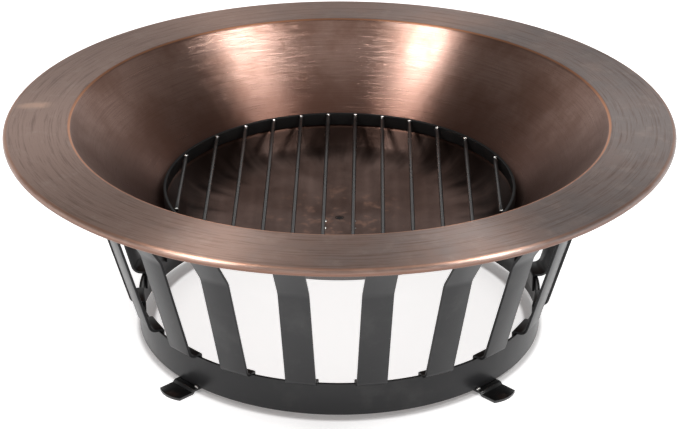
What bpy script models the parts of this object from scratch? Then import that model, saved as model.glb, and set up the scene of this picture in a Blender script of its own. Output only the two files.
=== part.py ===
"""Fire pit with a lift-out grate, in metres, +Z up.

The origin is on the ground, under the middle of the bowl, and -Y is the front. The base is a
steel band with four feet and a cradle of bent straps. A spun bowl hangs by its rim on the
straps, and a round grate drops into the bowl and seats on its sloping wall.

A profile or path is a list of (radius, height) vectors.
"""

import math

import bmesh
import bpy
from mathutils import Matrix, Vector

TOUCH = 0.0003              # gap between two pieces that touch
EDGE_BEND = 0.00015         # inner radius of a bend over the ring's edge; tight, to keep its gap
WALL_TOUCH = 0.0005         # level gap from the hoop to the wall, which slopes away from it

# Base ring
RING_R = 0.315              # outer radius
RING_T = 0.004
RING_H = 0.052
GROUND_GAP = 0.008          # the ring's lower edge above the ground

# Feet
FOOT_COUNT = 4
FOOT_FIRST = math.radians(45)
FOOT_W = 0.045
FOOT_T = 0.004
FOOT_REACH = 0.037          # from the ring's outer face to the foot's corners
FOOT_NOSE = 0.006           # how far the rounded end stands past those corners
FOOT_TOE = 0.026            # length that lies flat on the ground
FOOT_LEG = 0.018            # length of the leg inside the ring
FOOT_RAMP_BEND = 0.002

# Straps; the bend radii are to the middle of the thickness
STRAP_COUNT = 20
STRAP_W = 0.045
STRAP_T = 0.004
STRAP_HOOK = 0.028          # length of the tail inside the ring
STRAP_OVERHANG = 0.014      # the strap's ledge past the ring's outer face
STRAP_KNEE_DROP = 0.107     # the upper bend below the rim's rolled edge
STRAP_FLARE = math.radians(34)      # upper length, from the vertical
STRAP_STANDOFF = 0.047      # from the bowl's mouth to where the strap meets the rim
STRAP_SEAT = 0.028          # length of the lip under the rim
LEDGE_BEND = 0.012
KNEE_BEND = 0.040
SEAT_BEND = 0.010

# Bowl
SHEET = 0.0015
RIM_W = 0.107               # from the mouth to the outside of the rolled edge
RIM_Z = 0.345               # top of the rolled edge
ROLL_D = 0.012              # height of the rolled edge
ROLL_TURN = math.radians(260)
RIM_RISE = 0.0045           # the rim's inner edge above its rolled edge
MOUTH_R = 0.401             # wall radius one fillet below the rim
MOUTH_FILLET = 0.009
SEAT_R = 0.2713             # wall radius where the grate seats
SEAT_DEPTH = 0.129          # that seat below the rolled edge
WALL_SAG = math.radians(7)  # how far the wall's end tangents turn from its chord
KNUCKLE = 0.040             # radius between wall and floor
DISH_SLOPE = math.radians(7)        # slope of the floor where the knuckle starts
FLOOR_DROP = 0.0405         # flat middle of the floor below the grate's seat
FLAT_R = 0.060              # radius of that flat middle
DRAIN_D = 0.0095

# Floor plate and its rivets
RIVET_DX = 0.045
RIVET_DY = 0.025
RIVET_Y = -0.025            # middle of the four rivets
RIVET_D = 0.004
RIVET_HEAD_D = 0.0076
RIVET_HEAD_H = 0.0022
RIVET_TAIL_D = 0.0064
RIVET_TAIL_H = 0.0012
PLATE_T = 0.002
PLATE_MARGIN = 0.007        # from a rivet's middle to the plate's edge

# Grate
HOOP_T = 0.0045
HOOP_H = 0.020
BAR_COUNT = 12
BAR_EDGE = 0.0223           # from the outermost bar's middle to the hoop's inner face
BAR_D = 0.0064

# Facets of a full turn
LARGE_TURN = 64
RIVET_TURN = 16
BAR_TURN = 12

# Facets of each rounded part of a profile, in the order in which it runs
STRAP_BEND_FACETS = (3, 5, 3, 3)
FOOT_BEND_FACETS = (3, 2, 2)
TOE_CUTS = 7
ROLL_FACETS = 8
MOUTH_FACETS = 4
WALL_FACETS = 6
FLOOR_FACETS = 3
DOME_FACETS = 4

SHARP = math.radians(30)    # an edge that turns further than this stays sharp
MERGE = 0.00001             # points of a turned piece nearer than this are one

# Bends over the ring's edges
FOOT_BEND = FOOT_T / 2 + EDGE_BEND
HOOK_BEND = STRAP_T / 2 + EDGE_BEND

# Heights and radii that follow
RING_TOP = GROUND_GAP + RING_H
RING_INNER = RING_R - RING_T
HOOP_BOTTOM = RIM_Z - SEAT_DEPTH
HOOP_TOP = HOOP_BOTTOM + HOOP_H
HOOP_R = SEAT_R - WALL_TOUCH
HOOP_INNER = HOOP_R - HOOP_T
BAR_PITCH = 2 * (HOOP_INNER - BAR_EDGE) / (BAR_COUNT - 1)
FLOOR_Z = HOOP_BOTTOM - FLOOR_DROP
PLATE_TOP = FLOOR_Z - SHEET - TOUCH
RIM_R = MOUTH_R + RIM_W
RIM_SLOPE = RIM_RISE / (RIM_W - ROLL_D / 2)

# Name, colour, metallic, roughness
COPPER = ("copper", (0.27, 0.13, 0.09), 1.0, 0.38)
BASE_BLACK = ("base_black", (0.022, 0.022, 0.023), 0.0, 0.42)
GRATE_BLACK = ("grate_black", (0.030, 0.030, 0.031), 0.0, 0.36)
STEEL = ("bright_steel", (0.60, 0.60, 0.60), 1.0, 0.30)


def clear_scene():
    """Remove the objects that the file opened with."""
    for obj in list(bpy.data.objects):
        bpy.data.objects.remove(obj, do_unlink=True)


def make_material(spec):
    """Return the material of one finish, made once."""
    name, colour, metallic, roughness = spec
    material = bpy.data.materials.get(name)
    if material:
        return material
    material = bpy.data.materials.new(name)
    material.use_nodes = True
    shader = material.node_tree.nodes["Principled BSDF"]
    shader.inputs["Base Color"].default_value = (*colour, 1.0)
    shader.inputs["Metallic"].default_value = metallic
    shader.inputs["Roughness"].default_value = roughness
    material.diffuse_color = (*colour, 1.0)
    return material


def make_collection(name):
    """Return a collection of the scene, made once."""
    collection = bpy.data.collections.get(name)
    if not collection:
        collection = bpy.data.collections.new(name)
        bpy.context.scene.collection.children.link(collection)
    return collection


def add_body(name, parent=None):
    """Add the empty that carries the pieces of one body, on the axis that they lift along."""
    empty = bpy.data.objects.new(name, None)
    make_collection("fire_pit").objects.link(empty)
    empty.parent = parent
    return empty


def add_piece(name, mesh, spec, parent):
    """Put a mesh in the part's collection as one named piece."""
    obj = bpy.data.objects.new(name, mesh)
    make_collection("fire_pit").objects.link(obj)
    mesh.materials.append(make_material(spec))
    obj.parent = parent
    return obj


def shade_round(mesh):
    """Shade a round piece smooth, with its corners kept sharp."""
    mesh.shade_smooth()
    mesh.set_sharp_from_angle(angle=SHARP)


def turned_vector(angle):
    """Return the unit vector at an angle."""
    return Vector((math.cos(angle), math.sin(angle)))


def arc(centre, radius, start, end, steps):
    """Return the points of an arc, both ends included."""
    return [
        centre + radius * turned_vector(start + (end - start) * index / steps)
        for index in range(steps + 1)
    ]


def fillet_path(corners, radii, steps):
    """Return an open path with its inner corners rounded, each to its own radius."""
    points = [corners[0]]
    for corner, before, after, radius, count in zip(
        corners[1:], corners, corners[2:], radii, steps
    ):
        back = (before - corner).normalized()
        ahead = (after - corner).normalized()
        half = back.angle(ahead) / 2
        centre = corner + (back + ahead).normalized() * radius / math.sin(half)
        first = corner + back * radius / math.tan(half) - centre
        last = corner + ahead * radius / math.tan(half) - centre
        start = math.atan2(first.y, first.x)
        sweep = math.atan2(first.x * last.y - first.y * last.x, first.dot(last))
        points.extend(arc(centre, radius, start, start + sweep, count))
    points.append(corners[-1])
    return points


def profile_mesh(name, points, closed):
    """Return the mesh of a profile, as a chain or a loop of edges in the XZ plane."""
    mesh = bpy.data.meshes.new(name)
    bm = bmesh.new()
    verts = [bm.verts.new((point.x, 0, point.y)) for point in points]
    for pair in zip(verts, verts[1:]):
        bm.edges.new(pair)
    if closed:
        bm.edges.new((verts[-1], verts[0]))
    bm.to_mesh(mesh)
    bm.free()
    return mesh


def add_turned(name, points, spec, parent, steps, closed=True):
    """Add a piece that is a profile turned about its own Z axis."""
    obj = add_piece(name, profile_mesh(name, points, closed), spec, parent)
    screw = obj.modifiers.new("Turn", "SCREW")
    screw.steps = steps
    screw.render_steps = steps
    screw.use_merge_vertices = True
    screw.merge_threshold = MERGE
    screw.use_smooth_shade = True
    return obj


def bent_strip(name, path, width):
    """Return the open sheet of a flat bar that follows a path out along +X."""
    mesh = profile_mesh(name, path, closed=False)
    bm = bmesh.new()
    bm.from_mesh(mesh)
    bmesh.ops.translate(bm, verts=bm.verts, vec=(0, -width / 2, 0))
    swept = bmesh.ops.extrude_edge_only(bm, edges=bm.edges)
    moved = [item for item in swept["geom"] if isinstance(item, bmesh.types.BMVert)]
    bmesh.ops.translate(bm, verts=moved, vec=(0, width, 0))
    bmesh.ops.recalc_face_normals(bm, faces=bm.faces)
    bm.to_mesh(mesh)
    bm.free()
    return mesh


def thicken(obj, thickness, offset):
    """Give an open sheet its thickness; offset 0 shares it between both sides."""
    solidify = obj.modifiers.new("Thickness", "SOLIDIFY")
    solidify.thickness = thickness
    solidify.offset = offset
    solidify.use_even_offset = True


def flat_inside(radius, width):
    """Return how far out a flat face of some width fits inside a faceted round wall."""
    facet = math.cos(math.pi / LARGE_TURN)
    return math.sqrt((radius * facet - TOUCH) ** 2 - (width / 2) ** 2)


def make_ring(parent):
    """Make the band that the straps and the feet are fixed to."""
    profile = [
        Vector((RING_R, RING_TOP)),
        Vector((RING_R, GROUND_GAP)),
        Vector((RING_INNER, GROUND_GAP)),
        Vector((RING_INNER, RING_TOP)),
    ]
    add_turned("base_ring", profile, BASE_BLACK, parent, LARGE_TURN)


def rim_height(radius):
    """Return the height of the rim's upper face at a radius."""
    return RIM_Z + RIM_SLOPE * (RIM_R - ROLL_D / 2 - radius)


def strap_path():
    """Return the middle line of a strap, from its tail inside the ring to its lip."""
    half = STRAP_T / 2
    tail_r = flat_inside(RING_INNER, STRAP_W) - half
    ledge_z = RING_TOP + TOUCH + half
    seat_r = MOUTH_R + STRAP_STANDOFF
    seat = Vector((seat_r, rim_height(seat_r) - SHEET - TOUCH - half))
    knee_z = RIM_Z - STRAP_KNEE_DROP
    knee = Vector((seat_r - (seat.y - knee_z) * math.tan(STRAP_FLARE), knee_z))
    corners = [
        Vector((tail_r, ledge_z - STRAP_HOOK)),
        Vector((tail_r, ledge_z)),
        Vector((RING_R + STRAP_OVERHANG - half, ledge_z)),
        knee,
        seat,
        seat + STRAP_SEAT * Vector((1, -RIM_SLOPE)).normalized(),
    ]
    radii = [HOOK_BEND, LEDGE_BEND, KNEE_BEND, SEAT_BEND]
    return fillet_path(corners, radii, STRAP_BEND_FACETS)


def make_straps(parent):
    """Make the cradle of straps, with the front between the last one and the first."""
    path = strap_path()
    step = 2 * math.pi / STRAP_COUNT
    for index in range(STRAP_COUNT):
        name = f"strap_{index + 1:02d}"
        mesh = bent_strip(name, path, STRAP_W)
        strap = add_piece(name, mesh, BASE_BLACK, parent)
        strap.rotation_euler.z = (index + 0.5) * step - math.pi / 2
        thicken(strap, STRAP_T, 0)
        shade_round(mesh)


def foot_path():
    """Return the middle line of a foot, from its leg inside the ring to its toe."""
    half = FOOT_T / 2
    leg_r = flat_inside(RING_INNER, FOOT_W) - half
    under_z = GROUND_GAP - TOUCH - half
    toe_r = RING_R + FOOT_REACH
    drop = under_z - half
    corners = [
        Vector((leg_r, under_z + FOOT_LEG)),
        Vector((leg_r, under_z)),
        Vector((toe_r - FOOT_TOE - drop, under_z)),
        Vector((toe_r - FOOT_TOE, half)),
        Vector((toe_r, half)),
    ]
    radii = [FOOT_BEND, FOOT_RAMP_BEND, FOOT_RAMP_BEND]
    return fillet_path(corners, radii, FOOT_BEND_FACETS)


def foot_sheet(name):
    """Return the open sheet of a foot, with a rounded end on its toe."""
    mesh = bent_strip(name, foot_path(), FOOT_W)
    toe_r = RING_R + FOOT_REACH
    bm = bmesh.new()
    bm.from_mesh(mesh)
    toe = [edge for edge in bm.edges if all(v.co.x > toe_r - TOUCH for v in edge.verts)]
    bmesh.ops.subdivide_edges(bm, edges=toe, cuts=TOE_CUTS)
    nose_r = ((FOOT_W / 2) ** 2 + FOOT_NOSE ** 2) / (2 * FOOT_NOSE)
    for vert in bm.verts:
        if vert.co.x > toe_r - TOUCH:
            vert.co.x += math.sqrt(nose_r ** 2 - vert.co.y ** 2) - nose_r + FOOT_NOSE
    bm.to_mesh(mesh)
    bm.free()
    return mesh


def make_feet(parent):
    """Make the feet, spaced evenly round the ring."""
    for index in range(FOOT_COUNT):
        name = f"foot_{index + 1}"
        mesh = foot_sheet(name)
        foot = add_piece(name, mesh, BASE_BLACK, parent)
        foot.rotation_euler.z = FOOT_FIRST + index * 2 * math.pi / FOOT_COUNT - math.pi / 2
        thicken(foot, FOOT_T, 0)
        shade_round(mesh)


def wall_arc():
    """Return the wall's inner face from its top to the grate's seat, and its end slopes."""
    top = Vector((MOUTH_R, rim_height(MOUTH_R) - MOUTH_FILLET))
    seat = Vector((SEAT_R, HOOP_BOTTOM))
    chord = top - seat
    chord_slope = math.atan2(chord.y, chord.x)
    radius = chord.length / (2 * math.sin(WALL_SAG))
    top_slope = chord_slope + WALL_SAG
    low_slope = chord_slope - WALL_SAG
    centre = seat - radius * turned_vector(low_slope - math.pi / 2)
    first = top_slope - math.pi / 2
    last = low_slope - math.pi / 2
    wall = arc(centre, radius, first, last, WALL_FACETS)
    return wall, top_slope, low_slope


def floor_arcs(low_slope):
    """Return the knuckle and the dish, from the foot of the wall to the flat middle.

    Below the seat the wall runs on straight, just so far that the dish, which starts at
    DISH_SLOPE, comes level at the height of the flat.
    """
    seat = Vector((SEAT_R, HOOP_BOTTOM))
    turn = Vector((
        math.sin(low_slope) - math.sin(DISH_SLOPE),
        math.cos(DISH_SLOPE) - math.cos(low_slope),
    ))
    dish_rise = math.tan(DISH_SLOPE / 2)
    fall = HOOP_BOTTOM - KNUCKLE * turn.y - FLOOR_Z
    spread = SEAT_R - KNUCKLE * turn.x - FLAT_R
    straight = (fall - spread * dish_rise) / (math.sin(low_slope) - math.cos(low_slope) * dish_rise)
    start = seat - straight * turned_vector(low_slope)
    centre = start - KNUCKLE * turned_vector(low_slope - math.pi / 2)
    dish_first = DISH_SLOPE - math.pi / 2
    knuckle = arc(centre, KNUCKLE, low_slope - math.pi / 2, dish_first, FLOOR_FACETS)
    dish_r = (knuckle[-1].x - FLAT_R) / math.sin(DISH_SLOPE)
    dish_centre = Vector((FLAT_R, FLOOR_Z + dish_r))
    dish = arc(dish_centre, dish_r, dish_first, -math.pi / 2, FLOOR_FACETS)
    return knuckle + dish[1:]


def bowl_face():
    """Return the bowl's upper face, from the end of the rolled edge in to the drain."""
    wall, top_slope, low_slope = wall_arc()
    roll_centre = Vector((RIM_R - ROLL_D / 2, RIM_Z - ROLL_D / 2))
    upright = math.pi / 2
    roll = arc(roll_centre, ROLL_D / 2, upright - ROLL_TURN, upright, ROLL_FACETS)
    # the rim's line and the wall's top tangent meet at the mouth's corner
    rim_at_wall = rim_height(wall[0].x)
    out = (rim_at_wall - wall[0].y) / (math.tan(top_slope) + RIM_SLOPE)
    corner = wall[0] + out * Vector((1, math.tan(top_slope)))
    mouth = fillet_path([roll[-1], corner, wall[0]], [MOUTH_FILLET], [MOUTH_FACETS])
    drain = Vector((DRAIN_D / 2, FLOOR_Z))
    return roll + mouth[1:-1] + wall + floor_arcs(low_slope) + [drain]


def rivet_places():
    """Return where the rivets stand, as seen from above."""
    return [
        Vector((side * RIVET_DX / 2, RIVET_Y + row * RIVET_DY / 2))
        for row in (-1, 1)
        for side in (-1, 1)
    ]


def add_hole_cutter():
    """Add the cutter of the rivet holes, which go through both the floor and the plate."""
    reach = 2 * (SHEET + PLATE_T + TOUCH)
    bm = bmesh.new()
    for place in rivet_places():
        centre = Matrix.Translation((place.x, place.y, PLATE_TOP))
        bmesh.ops.create_cone(
            bm,
            cap_ends=True,
            segments=RIVET_TURN,
            radius1=RIVET_D / 2 + TOUCH,
            radius2=RIVET_D / 2 + TOUCH,
            depth=2 * reach,
            matrix=centre,
        )
    mesh = bpy.data.meshes.new("rivet_holes")
    bm.to_mesh(mesh)
    bm.free()
    cutter = bpy.data.objects.new("rivet_holes", mesh)
    make_collection("cutters").objects.link(cutter)
    cutter.hide_render = True
    cutter.display_type = "WIRE"
    return cutter


def cut(obj, cutter):
    """Cut the rivet holes out of a piece."""
    boolean = obj.modifiers.new("Holes", "BOOLEAN")
    boolean.operation = "DIFFERENCE"
    boolean.solver = "EXACT"
    boolean.object = cutter


def make_bowl(parent, cutter):
    """Make the bowl as one turned sheet, open at the drain."""
    bowl = add_turned("bowl", bowl_face(), COPPER, parent, LARGE_TURN, closed=False)
    thicken(bowl, SHEET, 1)
    cut(bowl, cutter)


def make_plate(parent, cutter):
    """Make the plate that backs the floor's rivets."""
    mesh = bpy.data.meshes.new("floor_plate")
    bm = bmesh.new()
    size = (RIVET_DX + 2 * PLATE_MARGIN, RIVET_DY + 2 * PLATE_MARGIN, PLATE_T)
    place = Matrix.Translation((0, RIVET_Y, PLATE_TOP - PLATE_T / 2))
    bmesh.ops.create_cube(bm, size=1, matrix=place @ Matrix.Diagonal((*size, 1)))
    bm.to_mesh(mesh)
    bm.free()
    cut(add_piece("floor_plate", mesh, STEEL, parent), cutter)


def rivet_profile():
    """Return half of a rivet: domed head, shank and flat tail, about the top of the floor."""
    head_r = RIVET_HEAD_D / 2
    dome_r = (head_r ** 2 + RIVET_HEAD_H ** 2) / (2 * RIVET_HEAD_H)
    dome_centre = Vector((0, TOUCH + RIVET_HEAD_H - dome_r))
    edge = math.asin((dome_r - RIVET_HEAD_H) / dome_r)
    tail_z = PLATE_TOP - PLATE_T - TOUCH - FLOOR_Z
    return arc(dome_centre, dome_r, math.pi / 2, edge, DOME_FACETS) + [
        Vector((RIVET_D / 2, TOUCH)),
        Vector((RIVET_D / 2, tail_z)),
        Vector((RIVET_TAIL_D / 2, tail_z)),
        Vector((RIVET_TAIL_D / 2, tail_z - RIVET_TAIL_H)),
        Vector((0, tail_z - RIVET_TAIL_H)),
    ]


def make_rivets(parent):
    """Make the rivets that hold the plate under the floor."""
    for index, place in enumerate(rivet_places()):
        name = f"floor_rivet_{index + 1}"
        rivet = add_turned(name, rivet_profile(), STEEL, parent, RIVET_TURN, closed=False)
        rivet.location = (place.x, place.y, FLOOR_Z)


def make_hoop(parent):
    """Make the grate's outer band."""
    profile = [
        Vector((HOOP_R, HOOP_TOP)),
        Vector((HOOP_R, HOOP_BOTTOM)),
        Vector((HOOP_INNER, HOOP_BOTTOM)),
        Vector((HOOP_INNER, HOOP_TOP)),
    ]
    add_turned("grate_hoop", profile, GRATE_BLACK, parent, LARGE_TURN)


def make_bars(parent):
    """Make the grate's bars, each as long as the hoop is wide there."""
    for index in range(BAR_COUNT):
        x = (index - (BAR_COUNT - 1) / 2) * BAR_PITCH
        half = flat_inside(HOOP_INNER, 2 * abs(x) + BAR_D)
        mesh = bpy.data.meshes.new(f"grate_bar_{index + 1:02d}")
        bm = bmesh.new()
        bmesh.ops.create_cone(
            bm,
            cap_ends=True,
            segments=BAR_TURN,
            radius1=BAR_D / 2,
            radius2=BAR_D / 2,
            depth=2 * half,
        )
        bm.to_mesh(mesh)
        bm.free()
        bar = add_piece(mesh.name, mesh, GRATE_BLACK, parent)
        bar.location = (x, 0, HOOP_TOP - BAR_D / 2)
        bar.rotation_euler.x = math.pi / 2
        shade_round(mesh)


def main():
    """Build the fire pit."""
    clear_scene()
    base = add_body("base_body")
    make_ring(base)
    make_straps(base)
    make_feet(base)
    bowl = add_body("bowl_body", base)
    cutter = add_hole_cutter()
    make_bowl(bowl, cutter)
    make_plate(bowl, cutter)
    make_rivets(bowl)
    grate = add_body("grate_body", bowl)
    make_hoop(grate)
    make_bars(grate)


main()
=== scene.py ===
"""Looks of a copper fire pit with a lift-out grate, in metres, +Z up, -Y to the front.

The CAD model gives every place and overall size. Each sub-assembly here is a class that holds
its sizes, models its pieces round the same axis and dresses them in its finishes.
"""

import logging
import math
from dataclasses import dataclass, field
from enum import Enum
from typing import Callable, Sequence, Union

import bpy
from mathutils import Matrix, Vector


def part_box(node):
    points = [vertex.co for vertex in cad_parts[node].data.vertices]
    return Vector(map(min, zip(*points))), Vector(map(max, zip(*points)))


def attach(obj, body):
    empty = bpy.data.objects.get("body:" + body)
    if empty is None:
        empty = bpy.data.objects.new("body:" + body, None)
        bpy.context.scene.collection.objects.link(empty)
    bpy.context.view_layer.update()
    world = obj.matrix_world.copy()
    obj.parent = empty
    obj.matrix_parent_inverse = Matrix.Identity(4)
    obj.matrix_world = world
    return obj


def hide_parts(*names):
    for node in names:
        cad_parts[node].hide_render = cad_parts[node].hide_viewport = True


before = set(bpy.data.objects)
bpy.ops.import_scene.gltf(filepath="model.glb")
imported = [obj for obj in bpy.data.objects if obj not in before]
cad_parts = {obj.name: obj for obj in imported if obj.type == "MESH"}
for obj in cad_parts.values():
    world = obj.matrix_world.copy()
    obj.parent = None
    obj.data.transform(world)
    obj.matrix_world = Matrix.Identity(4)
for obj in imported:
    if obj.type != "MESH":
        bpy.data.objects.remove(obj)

LOG = logging.getLogger("fire_pit")
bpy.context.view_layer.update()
TOUCH = 0.0003
FULL_TURN = 2 * math.pi
UPRIGHT = math.pi / 2
NEAR = 0.00002
SHARP = math.radians(34)
PLATE_CORNER = math.radians(50)
BAR_CORNER = math.radians(60)
LONGEST_FACET = 0.012

Colour = tuple[float, float, float]
Triple = tuple[float, float, float]
Number = Union[float, int]


class Body(Enum):
    """The bodies that move on their own."""

    BASE = "base"
    BOWL = "bowl"
    GRATE = "grate"


class Slot(Enum):
    """The material slots of the part's record."""

    COPPER = "copper"
    BASE_BLACK = "base_black"
    GRATE_BLACK = "grate_black"
    STEEL = "bright_steel"


# ---------------------------------------------------------------- plane geometry


def unit(angle: float) -> Vector:
    """Return the unit vector at an angle."""
    return Vector((math.cos(angle), math.sin(angle)))


def arc(centre: Vector, radius: float, start: float, end: float, steps: int) -> list[Vector]:
    """Return the points of an arc, both ends included.

    Args:
        centre: Middle of the arc, as (radius, height).
        radius: Radius of the arc.
        start: Angle of its first point.
        end: Angle of its last point.
        steps: Number of facets.

    Returns:
        The points in order.
    """
    return [
        centre + radius * unit(start + (end - start) * index / steps)
        for index in range(steps + 1)
    ]


def rounded(corners: Sequence[Vector], radii: Sequence[float], steps: int) -> list[Vector]:
    """Return an open path with its inner corners rounded.

    Args:
        corners: The sharp path.
        radii: One radius for each inner corner.
        steps: Facets in each rounded corner.

    Returns:
        The points of the rounded path.
    """
    points = [corners[0]]
    for corner, before, after, radius in zip(corners[1:], corners, corners[2:], radii):
        back = (before - corner).normalized()
        ahead = (after - corner).normalized()
        half = back.angle(ahead) / 2
        centre = corner + (back + ahead).normalized() * radius / math.sin(half)
        first = corner + back * radius / math.tan(half) - centre
        last = corner + ahead * radius / math.tan(half) - centre
        start = math.atan2(first.y, first.x)
        sweep = math.atan2(first.x * last.y - first.y * last.x, first.dot(last))
        points.extend(arc(centre, radius, start, start + sweep, steps))
    points.append(corners[-1])
    return points


def divided(points: Sequence[Vector], longest: float) -> list[Vector]:
    """Return a path with its long facets split, so that none is longer than a given length.

    Args:
        points: The path.
        longest: Greatest length of a facet.

    Returns:
        The points of the divided path.
    """
    made = [points[0]]
    for start, end in zip(points, points[1:]):
        parts = max(1, math.ceil((end - start).length / longest))
        made.extend(start.lerp(end, index / parts) for index in range(1, parts + 1))
    return made


# ---------------------------------------------------------------- modelling


class Bench:
    """Edit-mode modelling steps, each on the active object."""

    @staticmethod
    def clear_selection() -> None:
        """Leave edit mode and deselect everything."""
        if bpy.context.object and bpy.context.object.mode != "OBJECT":
            bpy.ops.object.mode_set(mode="OBJECT")
        bpy.ops.object.select_all(action="DESELECT")

    @staticmethod
    def edit() -> None:
        """Enter edit mode on the active object."""
        bpy.ops.object.mode_set(mode="EDIT")

    @staticmethod
    def leave() -> None:
        """Go back to object mode."""
        bpy.ops.object.mode_set(mode="OBJECT")

    @staticmethod
    def select_points(test: Callable[[Vector], bool]) -> None:
        """Select just the points of the active mesh that pass a test of their place.

        Args:
            test: Tells whether a point at a place is picked.
        """
        obj = bpy.context.object
        bpy.ops.mesh.select_mode(type="VERT")
        bpy.ops.mesh.select_all(action="DESELECT")
        bpy.ops.object.mode_set(mode="OBJECT")
        for point in obj.data.vertices:
            point.select = test(point.co)
        bpy.ops.object.mode_set(mode="EDIT")

    @staticmethod
    def apply(obj: bpy.types.Object, kind: str, **settings: object) -> None:
        """Add a modifier to an object, with its settings, and apply it.

        Args:
            obj: The object.
            kind: Type of the modifier.
            settings: Its properties.
        """
        bpy.context.view_layer.objects.active = obj
        modifier = obj.modifiers.new(kind.title(), kind)
        for name, value in settings.items():
            setattr(modifier, name, value)
        bpy.ops.object.modifier_apply(modifier=modifier.name)

    @classmethod
    def chain(cls, name: str, points: Sequence[Vector]) -> bpy.types.Object:
        """Model a chain of edges in the XZ plane by extruding one point along it.

        Args:
            name: Name of the new object.
            points: The chain, as (radius, height) pairs.

        Returns:
            The new object, active and in edit mode, with its last point selected.
        """
        cls.clear_selection()
        bpy.ops.mesh.primitive_plane_add(size=TOUCH, location=(0, 0, 0))
        obj = bpy.context.object
        obj.name = name
        obj.data.name = name
        cls.edit()
        bpy.ops.mesh.select_all(action="SELECT")
        bpy.ops.mesh.merge(type="CENTER")
        bpy.ops.transform.translate(value=(points[0].x, 0, points[0].y))
        for before, after in zip(points, points[1:]):
            step = after - before
            bpy.ops.mesh.extrude_region_move(
                TRANSFORM_OT_translate={"value": (step.x, 0, step.y)}
            )
        return obj

    @classmethod
    def turned(
        cls, name: str, points: Sequence[Vector], steps: int, closed: bool = True
    ) -> bpy.types.Object:
        """Model a piece that is a profile spun about the Z axis.

        Args:
            name: Name of the new object.
            points: The profile, as (radius, height) pairs.
            steps: Facets in the full turn.
            closed: Whether the profile's last point joins its first.

        Returns:
            The new object, in object mode.
        """
        loop = [*points, points[0]] if closed else list(points)
        obj = cls.chain(name, loop)
        bpy.ops.mesh.select_all(action="SELECT")
        bpy.ops.mesh.spin(
            steps=steps, angle=FULL_TURN, center=(0, 0, 0), axis=(0, 0, 1), use_auto_merge=True
        )
        bpy.ops.mesh.select_all(action="SELECT")
        bpy.ops.mesh.remove_doubles(threshold=NEAR)
        bpy.ops.mesh.select_all(action="SELECT")
        bpy.ops.mesh.normals_make_consistent(inside=False)
        cls.leave()
        return obj

    @classmethod
    def strip(cls, name: str, path: Sequence[Vector], width: float) -> bpy.types.Object:
        """Model the open sheet of a flat bar that follows a path out along +X.

        Args:
            name: Name of the new object.
            path: Middle line of the bar, as (radius, height) pairs.
            width: Width of the bar.

        Returns:
            The new object, active and in edit mode.
        """
        obj = cls.chain(name, path)
        bpy.ops.mesh.select_all(action="SELECT")
        bpy.ops.transform.translate(value=(0, -width / 2, 0))
        bpy.ops.mesh.extrude_region_move(TRANSFORM_OT_translate={"value": (0, width, 0)})
        bpy.ops.mesh.select_all(action="SELECT")
        bpy.ops.mesh.normals_make_consistent(inside=False)
        return obj

    @classmethod
    def plate_up(cls, obj: bpy.types.Object, thickness: float, edge: float) -> None:
        """Give an open sheet its thickness and softened edges, and shade it.

        Args:
            obj: The sheet.
            thickness: Thickness of the plate, shared between both sides.
            edge: Width of the softened edge.
        """
        cls.leave()
        cls.apply(obj, "SOLIDIFY", thickness=thickness, offset=0.0, use_even_offset=True)
        cls.soften(obj, edge, PLATE_CORNER)
        cls.smooth(obj)

    @classmethod
    def soften(cls, obj: bpy.types.Object, width: float, corner: float) -> None:
        """Bevel the edges of a piece that turn by more than an angle."""
        cls.apply(
            obj, "BEVEL", width=width, segments=2, limit_method="ANGLE", angle_limit=corner
        )

    @classmethod
    def band(
        cls, name: str, outer: float, inner: float, low: float, top: float, edge: float, turn: int
    ) -> bpy.types.Object:
        """Model a flat band on edge round the Z axis.

        Args:
            name: Name of the new object.
            outer: Its outer radius.
            inner: Its inner radius.
            low: Height of its lower edge.
            top: Height of its upper edge.
            edge: Radius of its softened edges.
            turn: Facets in the full turn.

        Returns:
            The band, in object mode.
        """
        middle = (low + top) / 2
        corners = [
            Vector((outer, middle)),
            Vector((outer, low)),
            Vector((inner, low)),
            Vector((inner, top)),
            Vector((outer, top)),
            Vector((outer, middle)),
        ]
        made = cls.turned(name, rounded(corners, [edge] * 4, 3)[:-1], turn)
        cls.smooth(made)
        return made

    @classmethod
    def drop(
        cls, radius: float, stretch: Triple, side: Callable[[Vector], bool], push: Triple
    ) -> bpy.types.Object:
        """Model a weld bead: a small ball, stretched and pushed out of round at one side.

        Args:
            radius: Radius of the ball.
            stretch: Its scale along X, Y and Z.
            side: A test that picks the points of one side by their place.
            push: How far those points move.

        Returns:
            The bead, in object mode.
        """
        cls.clear_selection()
        bpy.ops.mesh.primitive_uv_sphere_add(segments=12, ring_count=8, radius=radius)
        bead = bpy.context.object
        cls.edit()
        bpy.ops.mesh.select_all(action="SELECT")
        bpy.ops.transform.resize(value=stretch)
        cls.select_points(side)
        bpy.ops.transform.translate(value=push)
        cls.leave()
        cls.smooth(bead)
        return bead

    @classmethod
    def smooth(cls, obj: bpy.types.Object) -> None:
        """Shade a piece smooth, with its corners kept sharp.

        Args:
            obj: The piece.
        """
        cls.clear_selection()
        obj.select_set(True)
        bpy.context.view_layer.objects.active = obj
        bpy.ops.object.shade_smooth_by_angle(angle=SHARP)
        obj.select_set(False)

    @staticmethod
    def copy(obj: bpy.types.Object, name: str, place: Matrix) -> bpy.types.Object:
        """Return a copy with its own mesh, moved to its place in the mesh.

        Args:
            obj: The pattern.
            name: Name of the copy.
            place: Where the mesh goes.

        Returns:
            The copy.
        """
        made = obj.copy()
        made.data = obj.data.copy()
        made.name = name
        made.data.name = name
        made.data.transform(place)
        bpy.context.collection.objects.link(made)
        return made

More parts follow.
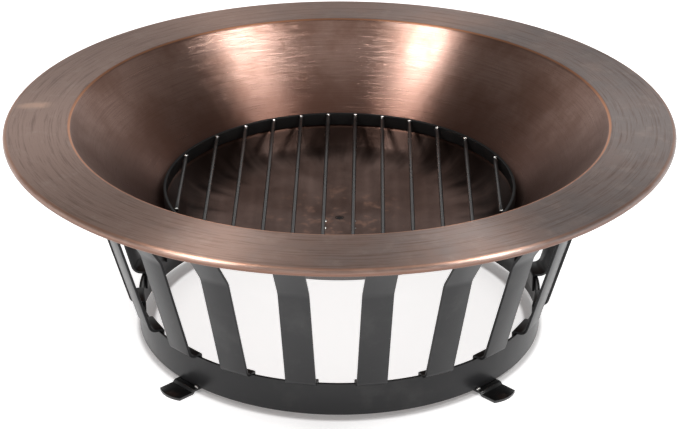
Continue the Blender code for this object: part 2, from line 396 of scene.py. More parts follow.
    @classmethod
    def joined(cls, name: str, pieces: Sequence[bpy.types.Object]) -> bpy.types.Object:
        """Join several pieces into one object and name it.

        Args:
            name: Name of the object.
            pieces: The pieces, at least one.

        Returns:
            The object.
        """
        cls.clear_selection()
        for piece in pieces:
            piece.select_set(True)
        bpy.context.view_layer.objects.active = pieces[0]
        bpy.ops.object.join()
        obj = bpy.context.object
        obj.name = name
        obj.data.name = name
        return obj

    @classmethod
    def discard(cls, obj: bpy.types.Object) -> None:
        """Remove a piece that was only a pattern for copies."""
        cls.clear_selection()
        bpy.data.objects.remove(obj, do_unlink=True)


def settle(
    obj: bpy.types.Object,
    body: Body,
    material: bpy.types.Material,
    nodes: Sequence[str] = (),
) -> None:
    """Dress a finished piece and put it on its body.

    Args:
        obj: The piece.
        body: The body that it moves with.
        material: Its finish.
        nodes: The CAD nodes that it stands for.
    """
    obj.data.materials.clear()
    obj.data.materials.append(material)
    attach(obj, body.value)
    if nodes:
        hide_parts(*nodes)
    LOG.info("%s rides on %s in %s", obj.name, body.value, material.name)


# ---------------------------------------------------------------- shader maths


class Wire:
    """A shader socket that takes part in sums and products."""

    def __init__(self, finish: "Finish", socket: bpy.types.NodeSocket) -> None:
        """Wrap an output socket of a finish's node tree."""
        self.finish = finish
        self.socket = socket

    def _math(self, operation: str, *values: object) -> "Wire":
        """Return the result of a Math node."""
        return self.finish.node("ShaderNodeMath", {"operation": operation}, list(values))

    def __add__(self, other: object) -> "Wire":
        """Return self + other."""
        return self._math("ADD", self, other)

    def __sub__(self, other: object) -> "Wire":
        """Return self - other."""
        return self._math("SUBTRACT", self, other)

    def __rsub__(self, other: object) -> "Wire":
        """Return other - self."""
        return self._math("SUBTRACT", other, self)

    def __mul__(self, other: object) -> "Wire":
        """Return self * other."""
        return self._math("MULTIPLY", self, other)

    def __truediv__(self, other: object) -> "Wire":
        """Return self / other."""
        return self._math("DIVIDE", self, other)

    __radd__ = __add__
    __rmul__ = __mul__

    def root(self) -> "Wire":
        """Return the square root."""
        return self._math("SQRT", self)

    def step(self, low: Number, high: Number) -> "Wire":
        """Return 0 below low, 1 above high, and a smooth rise between."""
        return self.finish.node(
            "ShaderNodeMapRange",
            {"interpolation_type": "SMOOTHSTEP"},
            {"Value": self, "From Min": low, "From Max": high},
        )

    def band(self, low: Number, high: Number, soft: Number) -> "Wire":
        """Return 1 between two values, with soft ends outside them."""
        return self.step(low - soft, low) * (1 - self.step(high, high + soft))


@dataclass(frozen=True)
class Finish:
    """A procedural finish; a subclass paints what varies over its surface."""

    name: str
    metallic: float = 0.0
    anisotropy: float = 0.0
    coat: float = 0.0
    coat_roughness: float = 0.2
    specular: float = 0.5

    def make(self) -> bpy.types.Material:
        """Return the material of this finish, made once.

        Returns:
            The material, which is shared by all who ask for it.
        """
        known = bpy.data.materials.get(self.name)
        if known:
            return known
        material = bpy.data.materials.new(self.name)
        material.use_nodes = True
        shader = material.node_tree.nodes["Principled BSDF"]
        shader.inputs["Metallic"].default_value = self.metallic
        shader.inputs["Anisotropic"].default_value = self.anisotropy
        shader.inputs["Anisotropic Rotation"].default_value = 0.25
        shader.inputs["Specular IOR Level"].default_value = self.specular
        shader.inputs["Coat Weight"].default_value = self.coat
        shader.inputs["Coat Roughness"].default_value = self.coat_roughness
        object.__setattr__(self, "_tree", material.node_tree)
        object.__setattr__(self, "_shader", shader)
        self.paint()
        return material

    def paint(self) -> None:
        """Link what varies over the surface."""
        raise NotImplementedError

    def node(self, kind: str, settings: dict, values: object, output: Number = 0) -> Wire:
        """Add a shader node.

        Args:
            kind: Type of the node.
            settings: Its properties, set first.
            values: Values or wires of its inputs, by place in a list or by name in a dict.
            output: Index or name of the output that is wanted.

        Returns:
            That output.
        """
        made = self._tree.nodes.new(kind)
        for name, value in settings.items():
            setattr(made, name, value)
        pairs = values.items() if isinstance(values, dict) else enumerate(values)
        for key, value in pairs:
            socket = made.inputs[key]
            if isinstance(value, Wire):
                self._tree.links.new(value.socket, socket)
            elif isinstance(value, tuple) and len(value) == 3 and socket.type == "RGBA":
                socket.default_value = (*value, 1.0)
            else:
                socket.default_value = value
        return Wire(self, made.outputs[output])

    def link(self, name: str, wire: Wire) -> None:
        """Feed one of the shader's sockets."""
        self._tree.links.new(wire.socket, self._shader.inputs[name])

    def place(self) -> Wire:
        """Return the place on the piece."""
        return self.node("ShaderNodeTexCoord", {}, {}, "Object")

    def split(self, vector: Wire) -> tuple[Wire, Wire, Wire]:
        """Return a vector's three parts."""
        first = self.node("ShaderNodeSeparateXYZ", {}, [vector])
        return tuple(Wire(self, out) for out in first.socket.node.outputs)

    def vector(self, x: object, y: object, z: object) -> Wire:
        """Return a vector from its three parts."""
        return self.node("ShaderNodeCombineXYZ", {}, [x, y, z])

    def noise(self, vector: Wire, scale: float, detail: float = 2.0, rough: float = 0.5) -> Wire:
        """Return a noise pattern, from about 0.3 to 0.7."""
        return self.node(
            "ShaderNodeTexNoise",
            {},
            {"Vector": vector, "Scale": scale, "Detail": detail, "Roughness": rough},
        )

    def mix(self, factor: object, first: object, second: object) -> Wire:
        """Return one colour faded into another."""
        return self.node(
            "ShaderNodeMix",
            {"data_type": "RGBA", "clamp_factor": True},
            {0: factor, 6: first, 7: second},
            2,
        )

    def bump(self, height: Wire, distance: float, strength: float = 1.0) -> None:
        """Raise the surface by a height pattern."""
        normal = self.node(
            "ShaderNodeBump", {}, {"Height": height, "Distance": distance, "Strength": strength}
        )
        self.link("Normal", normal)


@dataclass(frozen=True)
class BrushedCopper(Finish):
    """Antique copper, brushed round the axis; a dark patina wears off its edges, which also carry
    painted highlights.
    """

    fillet_low: float = 0.4066
    fillet_high: float = 0.4112
    roll_r: float = 0.5012
    floor_r: float = 0.268
    patch_x: float = -0.469
    patch_y: float = 0.035
    knuckle_r: float = 0.175
    ridge: float = 0.00030
    rim: Colour = (0.480, 0.320, 0.262)
    rim_cool: Colour = (0.370, 0.305, 0.285)
    rim_dark: Colour = (0.200, 0.112, 0.082)
    rim_pale: Colour = (0.660, 0.510, 0.450)
    patch_pale: Colour = (0.860, 0.560, 0.420)
    wall: Colour = (0.350, 0.222, 0.180)
    wall_dark: Colour = (0.250, 0.143, 0.108)
    wall_low: Colour = (0.125, 0.058, 0.041)
    edge_wear_and_highlight: Colour = (0.700, 0.320, 0.180)
    roll_under: Colour = (0.150, 0.075, 0.052)
    floor: Colour = (0.180, 0.118, 0.099)
    floor_dark: Colour = (0.110, 0.066, 0.053)
    floor_deep: Colour = (0.022, 0.012, 0.009)
    glint: Colour = (0.330, 0.190, 0.140)

    def paint(self) -> None:
        """Paint grain, patina blotches, soot, edge wear and painted light: edge highlights, shade
        and glints.
        """
        place = self.place()
        x, y, z = self.split(place)
        radius = (x * x + y * y).root()
        along = radius + z
        round_x = x / (radius + 0.001)
        round_y = y / (radius + 0.001)
        grain = self.noise(self.vector(round_x * 0.9, round_y * 0.9, along * 420), 3.0, 4.0, 0.65)
        coarse = self.noise(self.vector(round_x * 1.6, round_y * 1.6, along * 110), 3.0, 4.0, 0.7)
        fine = self.noise(self.vector(round_x * 2.5, round_y * 2.5, along * 1500), 2.0, 2.0)
        blotch = self.noise(place, 11.0, 5.0, 0.62)
        cloud = self.noise(place, 34.0, 4.0, 0.6)
        streak = self.noise(self.vector(round_x * 4, round_y * 4, radius * 3), 2.0, 3.0, 0.55)
        on_rim = radius.step(self.fillet_low, self.fillet_high)
        on_floor = 1 - radius.step(self.floor_r - 0.004, self.floor_r + 0.003)
        rim = self.rim_colour(x, blotch, cloud, coarse)
        rim = self.mix(self.bright_patch(x, y, blotch, cloud), rim, self.patch_pale)
        wall = self.wall_colour(z, blotch, coarse, grain)
        # Painted shade and reflections over real soot: the floor goes black towards the knuckle
        # in ragged radial streaks.
        deep = (radius + (streak - 0.5) * 0.10).step(self.knuckle_r, self.floor_r - 0.008)
        soot_and_painted_light = self.floor_colour(radius, deep, blotch, cloud)
        colour = self.mix(on_rim, wall, rim)
        colour = self.mix(on_floor, colour, soot_and_painted_light)
        # Painted highlight over some edge wear: bright bands on the mouth's fillet and on top of
        # the rolled edge.
        fillet = radius.band(self.fillet_low + 0.0012, self.fillet_high - 0.0012, 0.0014)
        rolled = radius.band(self.roll_r + 0.0015, self.roll_r + 0.0040, 0.0015)
        edge = fillet * (0.75 + cloud * 0.5) + rolled * (0.12 + cloud * 0.4)
        colour = self.mix(edge, colour, self.edge_wear_and_highlight)
        # Painted shade: the underside of the rolled edge is darkened.
        under = radius.step(self.roll_r - 0.004, self.roll_r) * (1 - z.step(0.337, 0.3425))
        colour = self.mix(under * 0.85, colour, self.roll_under)
        self.link("Base Color", colour)
        self.link("Metallic", 1 - on_floor * (1 - deep) * 0.45)
        rough = 0.20 + grain * 0.12 + coarse * 0.02 + blotch * 0.05 + on_floor * 0.02
        self.link("Roughness", rough + on_rim * 0.07 + rolled * 0.05)
        ridges = grain * (0.45 + on_rim * 0.3) + fine * 0.2 + coarse * on_rim * 0.8
        self.bump(ridges, self.ridge)

    def bright_patch(self, x: Wire, y: Wire, blotch: Wire, cloud: Wire) -> Wire:
        """Return a bright patch on the left of the rim.

        Args:
            x: Place across.
            y: Place from front to back.
            blotch: Broad noise.
            cloud: Finer noise.

        Returns:
            How bright the patch is, from 0 outside it.
        """
        away_x = (x - self.patch_x + (cloud - 0.5) * 0.03) * 0.9
        away_y = (y - self.patch_y + (blotch - 0.5) * 0.03) * 2.0
        spot = 1 - (away_x * away_x + away_y * away_y).root().step(0.008, 0.032)
        return spot * (1.35 - cloud * 1.2)

    def wall_colour(self, z: Wire, blotch: Wire, coarse: Wire, grain: Wire) -> Wire:
        """Return the wall's colour: blotched, with painted shade low down and dark brush lines.

        Args:
            z: Height.
            blotch: Broad noise.
            coarse: Broad brush lines.
            grain: Fine brush lines.

        Returns:
            The colour.
        """
        wall = self.mix(blotch.step(0.38, 0.66), self.wall, self.wall_dark)
        # Painted shade: the wall darkens towards the bottom of the bowl.
        wall = self.mix((1 - z.step(0.215, 0.325)) * 0.80, wall, self.wall_low)
        wall = self.mix(coarse.step(0.45, 0.75) * 0.35, wall, self.wall_low)
        return self.mix(grain.step(0.50, 0.72) * 0.35, wall, self.wall_low)

    def floor_colour(self, radius: Wire, deep: Wire, blotch: Wire, cloud: Wire) -> Wire:
        """Return the floor's colour: soot, painted glints, soot and painted shade round the
        knuckle, painted shade round the drain.

        Args:
            radius: Distance from the axis.
            deep: 1 in the shade of the knuckle.
            blotch: Broad noise.
            cloud: Finer noise.

        Returns:
            The colour.
        """
        soot_and_painted_light = self.mix(blotch.step(0.32, 0.70), self.floor_dark, self.floor)
        middle = 1 - radius.step(0.05, 0.15)
        # Painted reflections: bright glints in the middle of the floor.
        soot_and_painted_light = self.mix(cloud.step(0.52, 0.68) * middle * 0.8, soot_and_painted_light, self.glint)
        # Painted shade over real soot: black towards the knuckle.
        soot_and_painted_light = self.mix(deep * 0.85, soot_and_painted_light, self.floor_deep)
        # Painted shade: a black ring round the drain, where the hole looks dark.
        return self.mix((1 - radius.step(0.0062, 0.0082)) * 0.9, soot_and_painted_light, self.floor_deep)

    def rim_colour(self, x: Wire, blotch: Wire, cloud: Wire, coarse: Wire) -> Wire:
        """Return the rim's colour: cooler to the right, blotched, with dark brush lines.

        Args:
            x: Place across.
            blotch: Broad noise.
            cloud: Finer noise.
            coarse: Broad brush lines.

        Returns:
            The colour.
        """
        cool = (x * 0.9 + blotch * 1.3 - 0.25).step(0.15, 0.95)
        rim = self.mix(cool, self.rim, self.rim_cool)
        rim = self.mix(cloud.step(0.5, 0.75) * 0.25, rim, self.rim_pale)
        return self.mix(coarse.step(0.47, 0.72) * 0.6, rim, self.rim_dark)


@dataclass(frozen=True)
class BlackCoat(Finish):
    """Satin black coating on steel, with an orange-peel skin and a trace of dust."""

    black: Colour = (0.019, 0.019, 0.020)
    dusty: Colour = (0.048, 0.047, 0.046)
    gloss: float = 0.33
    grain_scale: float = 700.0

    def paint(self) -> None:
        """Paint the dust, the uneven gloss and the skin of the coating."""
        place = self.place()
        smudge = self.noise(place, 18.0, 4.0, 0.6)
        speck = self.noise(place, 260.0, 3.0, 0.7)
        skin = self.noise(place, self.grain_scale, 2.0)
        dust = smudge.step(0.5, 0.8) * 0.45 + speck.step(0.62, 0.75) * 0.25
        self.link("Base Color", self.mix(dust, self.black, self.dusty))
        self.link("Roughness", smudge * 0.16 + skin * 0.05 + (self.gloss - 0.08))
        self.bump(skin + smudge * 2.0, 0.00006)


@dataclass(frozen=True)
class BrightSteel(Finish):
    """Bare steel of rivets and plates, a little heat-tinted, also put on the weld beads as a
    painted highlight.
    """

    bright: Colour = (0.86, 0.85, 0.83)
    tinted: Colour = (0.60, 0.54, 0.48)

    def paint(self) -> None:
        """Paint the heat tint and the fine scratches."""
        place = self.place()
        tint = self.noise(place, 320.0, 3.0, 0.6)
        scratch = self.noise(place, 1900.0, 2.0)
        self.link("Base Color", self.mix(tint.step(0.45, 0.7), self.bright, self.tinted))
        self.link("Roughness", 0.2 + scratch * 0.2)
        self.bump(scratch + tint, 0.00008)


# ---------------------------------------------------------------- the fire pit


@dataclass
class BowlMaker:
    """The spun bowl, the rivets in its floor and the plate that they hold."""

    sheet: float = 0.0015
    mouth_r: float = 0.401
    mouth_fillet: float = 0.009
    rim_rise: float = 0.0045
    roll_d: float = 0.012
    roll_turn: float = math.radians(260)
    seat_depth: float = 0.129
    seat_r: float = 0.2713
    wall_sag: float = math.radians(7)
    knuckle: float = 0.040
    dish_slope: float = math.radians(7)
    floor_drop: float = 0.0405
    flat_r: float = 0.060
    drain_d: float = 0.0095
    rivet_d: float = 0.004
    rivet_head_d: float = 0.0076
    rivet_head_h: float = 0.0022
    rivet_tail_d: float = 0.0064
    rivet_tail_h: float = 0.0012
    turn: int = 256
    rivet_turn: int = 28
    copper: Finish = field(default_factory=lambda: BrushedCopper("antique_copper", 1.0, 0.88))
    steel: Finish = field(default_factory=lambda: BrightSteel("steel_and_weld_highlight", 1.0))

    def __post_init__(self) -> None:
        """Work out the heights that follow from the CAD bowl's box."""
        low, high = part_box("bowl")
        self.rim_r = (high.x - low.x) / 2
        self.rim_z = high.z - self.rim_rise
        self.slope = self.rim_rise / (self.rim_r - self.roll_d / 2 - self.mouth_r)
        self.seat_z = self.rim_z - self.seat_depth
        self.floor_z = self.seat_z - self.floor_drop

    def rim_height(self, radius: float) -> float:
        """Return the height of the rim's upper face at a radius."""
        return self.rim_z + self.slope * (self.rim_r - self.roll_d / 2 - radius)

    def face(self) -> list[Vector]:
        """Return the bowl's upper face, from the end of the rolled edge in to the drain.

        Returns:
            The profile, as (radius, height) pairs.
        """
        top = Vector((self.mouth_r, self.rim_height(self.mouth_r) - self.mouth_fillet))
        seat = Vector((self.seat_r, self.seat_z))
        chord = top - seat
        chord_slope = math.atan2(chord.y, chord.x)
        wall_r = chord.length / (2 * math.sin(self.wall_sag))
        top_slope = chord_slope + self.wall_sag
        low_slope = chord_slope - self.wall_sag
        wall_centre = seat - wall_r * unit(low_slope - UPRIGHT)
        wall = arc(wall_centre, wall_r, top_slope - UPRIGHT, low_slope - UPRIGHT, 24)
        roll_centre = Vector((self.rim_r - self.roll_d / 2, self.rim_z - self.roll_d / 2))
        roll = arc(roll_centre, self.roll_d / 2, UPRIGHT - self.roll_turn, UPRIGHT, 22)
        out = (self.rim_height(top.x) - top.y) / (math.tan(top_slope) + self.slope)
        corner = top + out * Vector((1, math.tan(top_slope)))
        mouth = rounded([roll[-1], corner, top], [self.mouth_fillet], 10)
        return divided(roll + mouth[1:-1] + wall + self.bottom(seat, low_slope), LONGEST_FACET)

    def bottom(self, seat: Vector, low_slope: float) -> list[Vector]:
        """Return the knuckle, the dish and the flat of the floor.

        Args:
            seat: Where the grate rests on the wall.
            low_slope: Slope of the wall there.

        Returns:
            The points from the knuckle in to the drain.
        """
        sideways = math.sin(low_slope) - math.sin(self.dish_slope)
        down = math.cos(self.dish_slope) - math.cos(low_slope)
        rise = math.tan(self.dish_slope / 2)
        fall = self.seat_z - self.knuckle * down - self.floor_z
        spread = self.seat_r - self.knuckle * sideways - self.flat_r
        straight = (fall - spread * rise) / (math.sin(low_slope) - math.cos(low_slope) * rise)
        start = seat - straight * unit(low_slope)
        centre = start - self.knuckle * unit(low_slope - UPRIGHT)
        level = self.dish_slope - UPRIGHT
        knuckle = arc(centre, self.knuckle, low_slope - UPRIGHT, level, 12)
        dish_r = (knuckle[-1].x - self.flat_r) / math.sin(self.dish_slope)
        dish = arc(Vector((self.flat_r, self.floor_z + dish_r)), dish_r, level, -UPRIGHT, 10)
        return knuckle + dish[1:] + [Vector((self.drain_d / 2, self.floor_z))]

    def skin(self) -> bpy.types.Object:
        """Return the bowl: its upper face spun round the axis and thickened downwards.

        Returns:
            The bowl.
        """
        path = self.face()
        bowl = Bench.turned("bowl_spun", path, self.turn, closed=False)
        # A single sheet has no inside, so its faces look up before it is thickened.
        middle = max(bowl.data.polygons, key=lambda face: face.area)
        if middle.normal.z < 0:
            bpy.context.view_layer.objects.active = bowl
            Bench.edit()
            bpy.ops.mesh.select_all(action="SELECT")
            bpy.ops.mesh.flip_normals()
            Bench.leave()
        Bench.apply(bowl, "SOLIDIFY", thickness=self.sheet, offset=-1.0, use_even_offset=True)
        Bench.smooth(bowl)
        return bowl

    def rivet(self) -> bpy.types.Object:
        """Return one rivet about the top of the floor: domed head, shank and flat tail.

        Returns:
            The pattern for the rivets.
        """
        head_r = self.rivet_head_d / 2
        dome_r = (head_r**2 + self.rivet_head_h**2) / (2 * self.rivet_head_h)
        centre = Vector((0, TOUCH + self.rivet_head_h - dome_r))
        edge = math.asin((dome_r - self.rivet_head_h) / dome_r)
        shank_r = self.rivet_d / 2
        tail_r = self.rivet_tail_d / 2
        plate_low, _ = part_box("floor_plate")
        tail_z = plate_low.z - TOUCH - self.floor_z
        tail_end = tail_z - self.rivet_tail_h
        path = arc(centre, dome_r, UPRIGHT, edge, 10)
        path += [Vector((shank_r, TOUCH)), Vector((shank_r, tail_z)), Vector((tail_r, tail_z))]
        path += [Vector((tail_r, tail_end)), Vector((0, tail_end))]
        rivet = Bench.turned("rivet_pattern", path, self.rivet_turn, closed=False)
        Bench.smooth(rivet)
        return rivet

    def build(self) -> None:
        """Model the bowl and its rivets, and dress the CAD plate."""
        copper = self.copper.make()
        steel = self.steel.make()
        settle(self.skin(), Body.BOWL, copper, ["bowl"])
        pattern = self.rivet()
        for number in range(1, 5):
            node = f"floor_rivet_{number}"
            low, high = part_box(node)
            middle = (low + high) / 2
            place = Matrix.Translation((middle.x, middle.y, self.floor_z))
            made = Bench.copy(pattern, f"rivet_domed_{number}", place)
            settle(made, Body.BOWL, steel, [node])
        Bench.discard(pattern)
        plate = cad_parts["floor_plate"]
        plate.data.materials.clear()
        plate.data.materials.append(steel)


@dataclass
class BaseMaker:
    """The ring on its feet and the cradle of bent straps."""

    ring_t: float = 0.004
    strap_w: float = 0.045
    strap_t: float = 0.004
    strap_hook: float = 0.028
    overhang: float = 0.014
    knee_drop: float = 0.107
    flare: float = math.radians(34)
    standoff: float = 0.047
    lip: float = 0.028
    hook_bend: float = 0.00215
    ledge_bend: float = 0.012
    knee_bend: float = 0.040
    seat_bend: float = 0.010
    strap_count: int = 20
    foot_count: int = 4
    foot_first: float = math.radians(45)
    foot_w: float = 0.045
    foot_t: float = 0.004
    foot_reach: float = 0.037
    foot_nose: float = 0.006
    foot_toe: float = 0.026
    foot_leg: float = 0.018
    foot_bend: float = 0.00215
    foot_ramp: float = 0.002
    cad_turn: int = 64
    turn: int = 192
    edge: float = 0.0005
    ring_edge: float = 0.0007
    toe_cuts: int = 15
    bead_r: float = 0.0023
    coat: Finish = field(
        default_factory=lambda: BlackCoat(
            "satin_black", coat=0.06, specular=0.25, black=(0.014, 0.014, 0.015)
        )
    )
    foot_coat: Finish = field(
        default_factory=lambda: BlackCoat(
            "gloss_black", coat=0.35, coat_roughness=0.1, black=(0.006, 0.006, 0.006), gloss=0.22
        )
    )
    weld: Finish = field(default_factory=lambda: BrightSteel("steel_and_weld_highlight", 1.0))

    def __post_init__(self) -> None:
        """Take the ring's place from its CAD box."""
        low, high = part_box("base_ring")
        self.ring_r = (high.x - low.x) / 2
        self.ring_low = low.z
        self.ring_top = high.z

    def inside(self, radius: float, width: float) -> float:
        """Return how far out a flat face of some width fits inside the round wall."""
        facet = math.cos(math.pi / self.cad_turn)
        return math.sqrt((radius * facet - TOUCH) ** 2 - (width / 2) ** 2)

    def ring(self) -> bpy.types.Object:
        """Return the band, with softened edges.

        Returns:
            The ring.
        """
        inner = self.ring_r - self.ring_t
        low, top = self.ring_low, self.ring_top
        return Bench.band("ring_band", self.ring_r, inner, low, top, self.ring_edge, self.turn)

    def strap_path(self, bowl: BowlMaker) -> list[Vector]:
        """Return the middle line of a strap, from its tail inside the ring to its lip.

        Args:
            bowl: The bowl that it carries.

        Returns:
            The line, as (radius, height) pairs.
        """
        half = self.strap_t / 2
        tail_r = self.inside(self.ring_r - self.ring_t, self.strap_w) - half
        ledge_z = self.ring_top + TOUCH + half
        seat_r = bowl.mouth_r + self.standoff
        seat = Vector((seat_r, bowl.rim_height(seat_r) - bowl.sheet - TOUCH - half))
        knee_z = bowl.rim_z - self.knee_drop
        knee = Vector((seat_r - (seat.y - knee_z) * math.tan(self.flare), knee_z))
        corners = [
            Vector((tail_r, ledge_z - self.strap_hook)),
            Vector((tail_r, ledge_z)),
            Vector((self.ring_r + self.overhang - half, ledge_z)),
            knee,
            seat,
            seat + self.lip * Vector((1, -bowl.slope)).normalized(),
        ]
        radii = [self.hook_bend, self.ledge_bend, self.knee_bend, self.seat_bend]
        return rounded(corners, radii, 10)

    def strap(self, bowl: BowlMaker) -> bpy.types.Object:
        """Return one strap, lying out along +X.

        Args:
            bowl: The bowl that it carries.

        Returns:
            The pattern for the straps.
        """
        strap = Bench.strip("strap_pattern", self.strap_path(bowl), self.strap_w)
        Bench.plate_up(strap, self.strap_t, self.edge)
        return strap

    def foot(self) -> bpy.types.Object:
        """Return one foot, lying out along +X, with a rounded toe.

        Returns:
            The pattern for the feet.
        """
        half = self.foot_t / 2
        leg_r = self.inside(self.ring_r - self.ring_t, self.foot_w) - half
        under = self.ring_low - TOUCH - half
        toe_r = self.ring_r + self.foot_reach
        corners = [
            Vector((leg_r, under + self.foot_leg)),
            Vector((leg_r, under)),
            Vector((toe_r - self.foot_toe - (under - half), under)),
            Vector((toe_r - self.foot_toe, half)),
            Vector((toe_r, half)),
        ]
        path = rounded(corners, [self.foot_bend, self.foot_ramp, self.foot_ramp], 5)
        foot = Bench.strip("foot_pattern", path, self.foot_w)
        toe = toe_r - TOUCH
        Bench.select_points(lambda place: place.x > toe)
        bpy.ops.mesh.subdivide(number_cuts=self.toe_cuts)
        nose_r = ((self.foot_w / 2) ** 2 + self.foot_nose**2) / (2 * self.foot_nose)
        Bench.leave()
        across = sorted({round(v.co.y, 6) for v in foot.data.vertices if v.co.x > toe})
        Bench.edit()
        for offset in across:
            reach = math.sqrt(nose_r**2 - offset**2) - nose_r + self.foot_nose
            Bench.select_points(
                lambda place, y=offset: place.x > toe and abs(place.y - y) < NEAR
            )
            bpy.ops.transform.translate(value=(reach, 0, 0))
        Bench.plate_up(foot, self.foot_t, self.edge)
        return foot

    def bead(self) -> bpy.types.Object:
        """Return one weld bead, as a flattened and uneven drop."""
        push = (0.0008, 0, -0.0004)
        return Bench.drop(self.bead_r, (1.0, 1.6, 0.8), lambda place: place.y > 0.002, push)

    def build(self, bowl: BowlMaker) -> None:
        """Model the ring, straps, feet and weld beads.

        Args:
            bowl: The bowl that they carry.
        """
        coat = self.coat.make()
        settle(self.ring(), Body.BASE, coat, ["base_ring"])
        strap = self.strap(bowl)
        for index in range(self.strap_count):
            turn = (index + 0.5) * FULL_TURN / self.strap_count - UPRIGHT
            place = Matrix.Rotation(turn, 4, "Z")
            made = Bench.copy(strap, f"strap_bent_{index + 1:02d}", place)
            settle(made, Body.BASE, coat, [f"strap_{index + 1:02d}"])
        Bench.discard(strap)
        foot = self.foot()
        bead = self.bead()
        beads = []
        for index in range(self.foot_count):
            turn = self.foot_first + index * FULL_TURN / self.foot_count - UPRIGHT
            spin = Matrix.Rotation(turn, 4, "Z")
            made = Bench.copy(foot, f"foot_rounded_{index + 1}", spin)
            settle(made, Body.BASE, self.foot_coat.make(), [f"foot_{index + 1}"])
            side = 1 if index % 2 else -1
            across = side * self.foot_w * 0.44
            spot = Vector((self.ring_r + 0.0012, across, self.ring_low + 0.0008))
            beads.append(Bench.copy(bead, "bead", spin @ Matrix.Translation(spot)))
        Bench.discard(foot)
        Bench.discard(bead)
        # Painted highlight: the weld beads are bright steel, for the shiny dots where the feet
        # meet the ring.
        settle(Bench.joined("foot_welds", beads), Body.BASE, self.weld.make())


@dataclass
class GrateMaker:
    """The round grate: a hoop and its parallel bars."""

    hoop_t: float = 0.0045
    bar_d: float = 0.0064
    bar_count: int = 12
    turn: int = 192
    bar_turn: int = 24
    bar_parts: int = 8
    bar_edge: float = 0.0004
    hoop_edge: float = 0.0008
    bead_r: float = 0.0022
    coat: Finish = field(
        default_factory=lambda: BlackCoat(
            "grate_black_finish",
            coat=0.5,
            coat_roughness=0.15,
            black=(0.011, 0.011, 0.011),
            gloss=0.26,
        )
    )
    hoop_coat: Finish = field(
        default_factory=lambda: BlackCoat(
            "hoop_black", black=(0.007, 0.007, 0.007), dusty=(0.02, 0.02, 0.02), specular=0.22
        )
    )
    weld: Finish = field(default_factory=lambda: BrightSteel("steel_and_weld_highlight", 1.0))

    def __post_init__(self) -> None:
        """Take the hoop's place from its CAD box."""
        low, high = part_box("grate_hoop")
        self.hoop_r = (high.x - low.x) / 2
        self.low = low.z
        self.top = high.z

    def hoop(self) -> bpy.types.Object:
        """Return the band, with softened edges."""
        inner = self.hoop_r - self.hoop_t
        return Bench.band(
            "hoop_band", self.hoop_r, inner, self.low, self.top, self.hoop_edge, self.turn
        )

    def bar(self, number: int) -> bpy.types.Object:
        """Return one bar as long as its CAD bar, drawn from a circle and softened at its ends.

        Args:
            number: Number of the bar, from 1 at the left.

        Returns:
            The bar.
        """
        low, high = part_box(f"grate_bar_{number:02d}")
        middle = (low.x + high.x) / 2
        height = self.top - self.bar_d / 2
        Bench.clear_selection()
        bpy.ops.mesh.primitive_circle_add(
            vertices=self.bar_turn,
            radius=self.bar_d / 2,
            fill_type="NGON",
            rotation=(UPRIGHT, 0, 0),
            location=(middle, low.y, height),
        )
        bar = bpy.context.object
        bpy.ops.object.transform_apply(location=True, rotation=True, scale=True)
        bar.name = f"bar_round_{number:02d}"
        bar.data.name = bar.name
        Bench.edit()
        bpy.ops.mesh.select_all(action="SELECT")
        step = (high.y - low.y) / self.bar_parts
        for _ in range(self.bar_parts):
            bpy.ops.mesh.extrude_region_move(TRANSFORM_OT_translate={"value": (0, step, 0)})
        bpy.ops.mesh.select_all(action="SELECT")
        bpy.ops.mesh.normals_make_consistent(inside=False)
        Bench.leave()
        Bench.soften(bar, self.bar_edge, BAR_CORNER)
        Bench.smooth(bar)
        return bar

    def bead(self) -> bpy.types.Object:
        """Return one weld bead, as an uneven drop that wraps the end of a bar."""
        push = (0.0005, 0.0004, -0.0005)
        return Bench.drop(self.bead_r, (1.25, 0.7, 0.62), lambda place: place.x > 0.002, push)

    def build(self) -> None:
        """Model the hoop, the bars and the weld beads at their ends."""
        coat = self.coat.make()
        settle(self.hoop(), Body.GRATE, self.hoop_coat.make(), ["grate_hoop"])
        bead = self.bead()
        beads = []
        for number in range(1, self.bar_count + 1):
            node = f"grate_bar_{number:02d}"
            settle(self.bar(number), Body.GRATE, coat, [node])
            low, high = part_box(node)
            for side, end in ((-1, low.y), (1, high.y)):
                spot = ((low.x + high.x) / 2, end - side * 0.0004, self.top - self.bar_d * 0.10)
                beads.append(Bench.copy(bead, "bead", Matrix.Translation(spot)))
        Bench.discard(bead)
        # Painted highlight: the weld beads are bright steel, for the shiny dots at the ends of
        # the bars.
        settle(Bench.joined("bar_welds", beads), Body.GRATE, self.weld.make())


# ---------------------------------------------------------------- studio


@dataclass(frozen=True)
class PaleFloor(Finish):
    """The studio's plain pale floor, which glows a little, with a soft shade at the ring."""

    pale: Colour = (0.90, 0.90, 0.90)
    glow: float = 0.80
    ring_r: float = 0.318
    contact: float = 0.66
    wide_shade: float = 0.12

    def paint(self) -> None:
        """Paint it one colour, faintly uneven in gloss, and dimmer close to the ring."""
        place = self.place()
        uneven = self.noise(place, 3.0)
        x, y, _ = self.split(place)
        radius = (x * x + y * y).root()
        # Painted shadow: the glow dims in a narrow dark band under the ring and a wider soft one
        # round it.
        close = radius.band(self.ring_r - 0.022, self.ring_r - 0.004, 0.009)
        wide = radius.band(self.ring_r - 0.020, self.ring_r, 0.060)
        shade = close * self.contact + wide * self.wide_shade
        lit = self.mix(shade, (1.0, 1.0, 1.0), (0.0, 0.0, 0.0))
        self.link("Emission Color", lit)
        self._shader.inputs["Base Color"].default_value = (*self.pale, 1.0)
        self._shader.inputs["Emission Strength"].default_value = self.glow
        self.link("Roughness", uneven * 0.05 + 0.55)


@dataclass(frozen=True)
class Sky(Finish):
    """The room's light: bright low down behind the bowl, dim overhead."""

    horizon: float = 0.74
    top: float = 0.16
    bright_to: float = 0.33
    dim_from: float = 0.52

    def glow(self) -> Wire:
        """Return the strength of the light from each direction."""
        _, _, z = self.split(self.node("ShaderNodeTexCoord", {}, {}, "Generated"))
        return self.horizon - z.step(self.bright_to, self.dim_from) * (self.horizon - self.top)


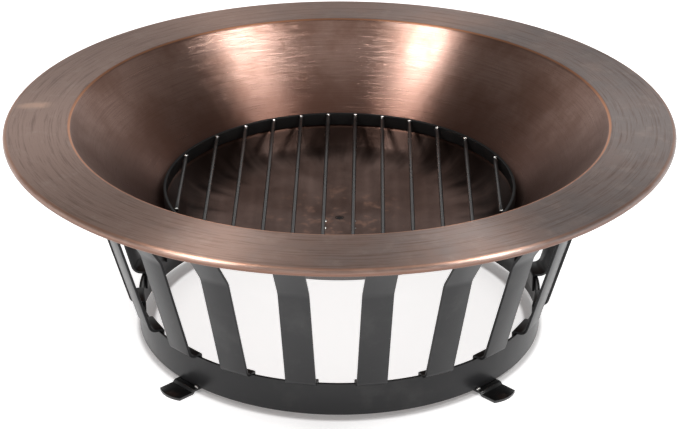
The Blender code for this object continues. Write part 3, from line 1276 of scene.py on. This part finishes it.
@dataclass
class Studio:
    """The camera, the floor and the soft lights."""

    distance: float = 3.112
    eye_z: float = 1.688
    azimuth: float = math.radians(0.8)
    pitch: float = 0.4512
    lens: float = 118.2
    sensor: float = 36.0
    aim: Triple = (0.0, 0.0, 0.25)
    right: Triple = (1.57, -0.9, 2.5)
    left: Triple = (-1.33, -0.9, 2.5)
    front: Triple = (0.12, -1.1, 2.6)
    key_size: tuple[float, float] = (0.30, 0.75)
    fill_size: tuple[float, float] = (1.1, 0.6)
    key: float = 46.0
    fill: float = 4.2

    def camera(self) -> None:
        """Stand the camera in front of the bowl, a little to the right, looking down at it."""
        data = bpy.data.cameras.new("camera")
        data.lens = self.lens
        data.sensor_width = self.sensor
        data.sensor_fit = "HORIZONTAL"
        data.clip_start = 0.05
        data.clip_end = 100
        obj = bpy.data.objects.new("camera", data)
        bpy.context.scene.collection.objects.link(obj)
        obj.location = (
            self.distance * math.sin(self.azimuth),
            -self.distance * math.cos(self.azimuth),
            self.eye_z,
        )
        obj.rotation_euler = (UPRIGHT - self.pitch, 0, self.azimuth)
        bpy.context.scene.camera = obj

    def floor(self) -> None:
        """Lay the floor under the feet."""
        Bench.clear_selection()
        bpy.ops.mesh.primitive_plane_add(size=40, location=(0, 0, 0))
        floor = bpy.context.object
        floor.name = "floor"
        floor.data.materials.append(PaleFloor("pale_floor").make())

    def softbox(self, name: str, place: Triple, size: tuple[float, float], power: float) -> None:
        """Hang one area light that faces the bowl.

        Args:
            name: Name of the light.
            place: Its middle.
            size: Its width and height.
            power: Its power in watts.
        """
        data = bpy.data.lights.new(name, "AREA")
        data.shape = "RECTANGLE"
        data.size, data.size_y = size
        data.energy = power
        obj = bpy.data.objects.new(name, data)
        bpy.context.scene.collection.objects.link(obj)
        obj.location = place
        sight = Vector(self.aim) - Vector(place)
        obj.rotation_euler = sight.to_track_quat("-Z", "Y").to_euler()

    def surround(self) -> None:
        """Light the room from all round with an even pale sky."""
        world = bpy.data.worlds.new("surround")
        bpy.context.scene.world = world
        world.use_nodes = True
        sky = world.node_tree.nodes["Background"]
        sky.inputs["Color"].default_value = (1.0, 1.0, 1.0, 1.0)
        paint = Sky("sky")
        object.__setattr__(paint, "_tree", world.node_tree)
        world.node_tree.links.new(paint.glow().socket, sky.inputs["Strength"])

    def build(self) -> None:
        """Set up the camera, the floor, the sky and the softboxes."""
        self.camera()
        self.floor()
        self.surround()
        self.softbox("softbox_right", self.right, self.key_size, self.key)
        self.softbox("softbox_left", self.left, self.key_size, self.key)
        self.softbox("softbox_front", self.front, self.fill_size, self.fill)


def main() -> None:
    """Build the fire pit and its studio."""
    logging.basicConfig(level=logging.INFO, format="%(name)s: %(message)s")
    bpy.context.scene.view_settings.view_transform = "Standard"
    bowl = BowlMaker()
    bowl.build()
    BaseMaker().build(bowl)
    GrateMaker().build()
    Studio().build()


if __name__ == "__main__":
    main()
